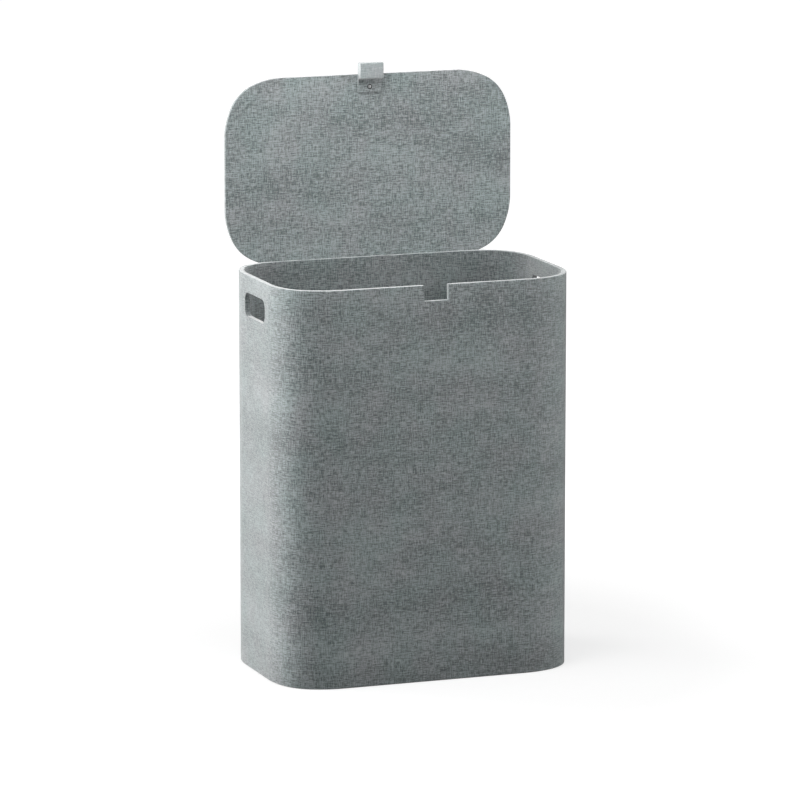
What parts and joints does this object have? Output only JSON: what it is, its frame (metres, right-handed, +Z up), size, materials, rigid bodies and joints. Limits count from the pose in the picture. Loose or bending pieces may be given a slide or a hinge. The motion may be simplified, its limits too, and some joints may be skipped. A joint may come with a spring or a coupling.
{
  "type": "laundry hamper",
  "caption": "Cloth-covered laundry hamper with rounded corners, side hand holes and a thin hinged lid with a pull tab that drops into a notch in the front rim.",
  "frame": {"origin": "on the floor, at the centre of the base face of the foot", "axes": "+Z up, +X to the right seen from the front, front with the rim notch towards -Y"},
  "size_m": [0.468, 0.2973, 0.8966],
  "materials": {
    "linen_cloth": "grey heathered linen-look weave, matte",
    "dust_cloth": "thin dark non-woven cloth",
    "fibreboard": "raw bent hardboard, smooth brown",
    "plated_steel": "zinc-plated, satin",
    "blackened_steel": "blackened, satin"
  },
  "bodies": {
    "hamper": {"wall_core": "fibreboard", "core_splice": "fibreboard", "outer_cover": "linen_cloth", "inner_lining": "linen_cloth", "hand_hole_lining_left": "linen_cloth", "hand_hole_lining_right": "linen_cloth", "notch_lining": "linen_cloth", "bottom_board": "fibreboard", "bottom_lining": "linen_cloth", "dust_cover": "dust_cloth", "bottom_brads": "plated_steel", "hinge_wall_leaf_left": "plated_steel", "hinge_wall_leaf_right": "plated_steel", "hinge_pin_left": "plated_steel", "hinge_pin_right": "plated_steel", "hinge_wall_screws": "plated_steel"},
    "lid": {"lid_core": "fibreboard", "lid_top_cover": "linen_cloth", "lid_underside_cover": "linen_cloth", "hinge_lid_leaf_left": "plated_steel", "hinge_lid_leaf_right": "plated_steel", "hinge_lid_screws": "plated_steel", "tab_core": "fibreboard", "tab_cover": "linen_cloth", "tab_screw_cup": "blackened_steel", "tab_screw": "plated_steel"}
  },
  "joints": [
    {"name": "lid_hinge", "type": "hinge", "parent": "hamper", "child": "lid", "pos_m": [0, 0.141, 0.596], "axis": [1, 0, 0], "range_deg": [0, 90]}
  ]
}
